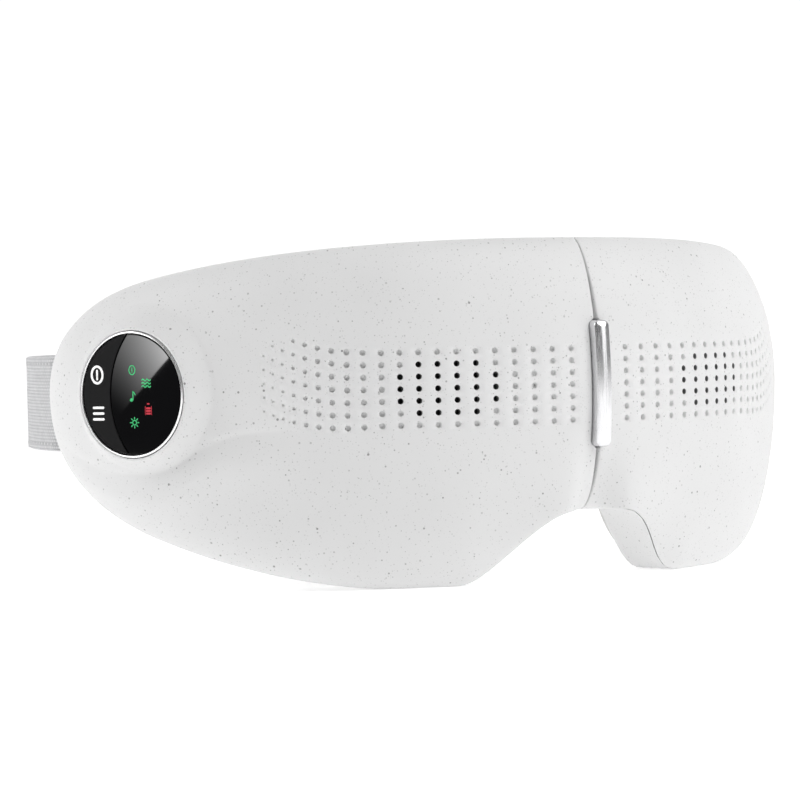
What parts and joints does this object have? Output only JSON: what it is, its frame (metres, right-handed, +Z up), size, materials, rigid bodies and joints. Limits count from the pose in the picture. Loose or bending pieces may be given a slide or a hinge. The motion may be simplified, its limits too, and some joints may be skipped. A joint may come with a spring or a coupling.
{
  "type": "eye massager mask",
  "caption": "Foldable wrap-around eye massager mask with a hinged bridge, perforated front, round control panel and elastic head strap.",
  "frame": {"origin": "bottom centre of the whole object, strap included; the two cheek lobes stand on z = 0 and the seam plane is x = 0", "axes": "+Z up as worn, -Y out of the front of the mask away from the wearer, +X towards the wearer's left half that holds the battery"},
  "size_m": [0.2199, 0.1973, 0.0872],
  "materials": {
    "shell": "matte off-white moulded plastic with fine grey specks",
    "steel": "plain steel",
    "bright_metal": "satin-bright plated metal",
    "display": "gloss black window with lit icons",
    "key": "matte charcoal with printed white icons",
    "pad": "soft off-white leatherette over foam",
    "airbag": "thin translucent film bag",
    "heat_film": "amber film with a printed track",
    "black_plastic": "black moulded plastic",
    "strap_plastic": "light grey moulded plastic",
    "board": "green solder resist",
    "brass": "sintered weight",
    "tube": "milky silicone",
    "strap": "woven elastic webbing",
    "cell": "foil-wrapped cell"
  },
  "bodies": {
    "control_half": {"control_front_shell": "shell", "control_rear_shell": "shell", "control_shell_screw_1": "steel", "control_shell_screw_2": "steel", "control_shell_screw_3": "steel", "control_shell_screw_4": "steel", "control_face_pad": "pad", "control_airbag": "airbag", "control_heat_film": "heat_film", "control_speaker": "black_plastic", "control_vibration_motor": "steel", "control_hinge_leaf": "steel", "control_hinge_screw_1": "steel", "control_hinge_screw_2": "steel", "control_strap_anchor": "steel", "hinge_pin": "steel", "hinge_bar": "bright_metal", "bezel_ring": "bright_metal", "display_window": "display", "main_board": "board", "upper_tact_switch": "black_plastic", "lower_tact_switch": "black_plastic", "air_pump": "steel", "air_valve": "black_plastic", "air_tube": "tube", "head_strap": "strap", "strap_keeper": "strap_plastic"},
    "battery_half": {"battery_front_shell": "shell", "battery_rear_shell": "shell", "battery_shell_screw_1": "steel", "battery_shell_screw_2": "steel", "battery_shell_screw_3": "steel", "battery_shell_screw_4": "steel", "battery_face_pad": "pad", "battery_airbag": "airbag", "battery_heat_film": "heat_film", "battery_speaker": "black_plastic", "battery_vibration_motor": "steel", "battery_hinge_leaf": "steel", "battery_hinge_screw_1": "steel", "battery_hinge_screw_2": "steel", "battery_strap_anchor": "steel", "battery_cell": "cell", "charge_board": "board", "usb_socket": "steel"},
    "rocker": {"rocker_key": "key"},
    "control_weight": {"control_eccentric_weight": "brass"},
    "battery_weight": {"battery_eccentric_weight": "brass"}
  },
  "joints": [
    {"name": "fold_hinge", "type": "hinge", "parent": "control_half", "child": "battery_half", "pos_m": [0, -0.0852, 0.05], "axis": [0, 0, 1], "range_deg": [0, 90], "deforming": ["head_strap"]},
    {"name": "key_rock", "type": "hinge", "parent": "control_half", "child": "rocker", "pos_m": [-0.10699, -0.03105, 0.05], "axis": [0.4226, -0.9063, 0], "range_deg": [-2.5, 2.5], "stiffness_Nm_per_rad": 0.02},
    {"name": "control_motor_spin", "type": "hinge", "parent": "control_half", "child": "control_weight", "pos_m": [-0.05262, -0.07221, 0.05], "axis": [0, 0, 1], "continuous": true},
    {"name": "battery_motor_spin", "type": "hinge", "parent": "battery_half", "child": "battery_weight", "pos_m": [0.05262, -0.07221, 0.05], "axis": [0, 0, 1], "continuous": true}
  ]
}
